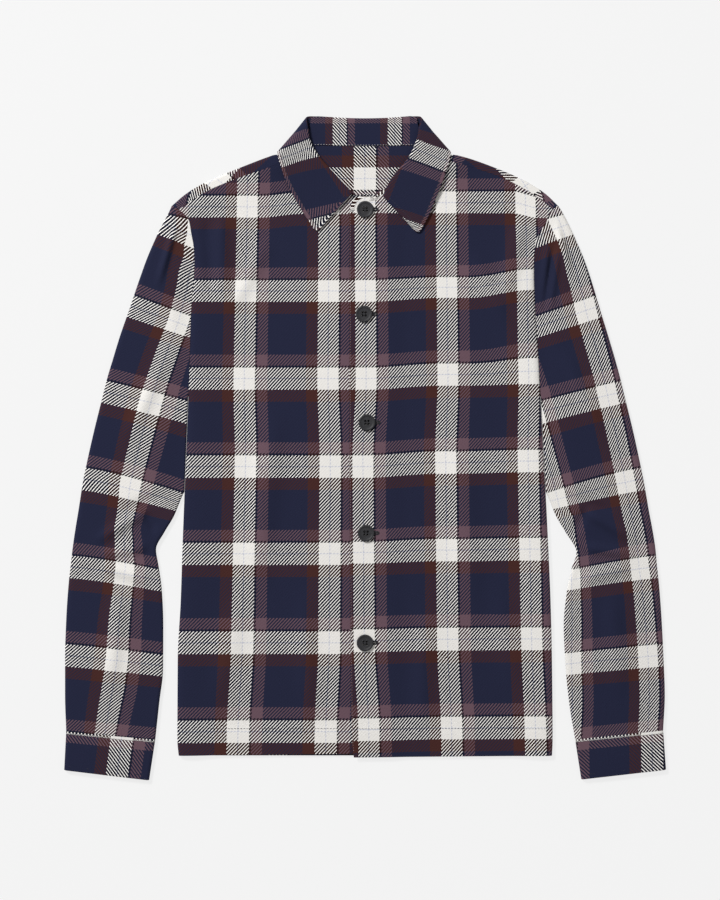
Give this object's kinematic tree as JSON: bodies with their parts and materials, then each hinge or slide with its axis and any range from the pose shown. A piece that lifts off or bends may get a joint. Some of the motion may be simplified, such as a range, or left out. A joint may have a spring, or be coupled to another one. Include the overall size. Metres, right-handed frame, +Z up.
{
  "type": "shacket",
  "caption": "Buttoned overshirt of checked brushed cloth, laid flat on its back, with a turned-down collar, long sleeves and cuffs.",
  "frame": {"origin": "middle of the garment's outline, on the surface it lies on", "axes": "+X to the wearer's left side, +Y from the hem towards the collar, +Z up, out of the fronts"},
  "size_m": [0.7214, 0.7956, 0.0112],
  "materials": {
    "body_cloth": "brushed twill in a cream, navy, mauve and maroon check",
    "trim_cloth": "the same twill, two layers",
    "button": "matt charcoal"
  },
  "bodies": {
    "root": {"back": "body_cloth", "front_right": "body_cloth", "front_left": "body_cloth", "sleeve_right": "body_cloth", "sleeve_left": "body_cloth", "cuff_right": "trim_cloth", "cuff_left": "trim_cloth", "collar": "trim_cloth", "collar_stand": "trim_cloth", "button_1": "button", "button_2": "button", "button_3": "button", "button_4": "button", "button_5": "button"}
  },
  "joints": []
}
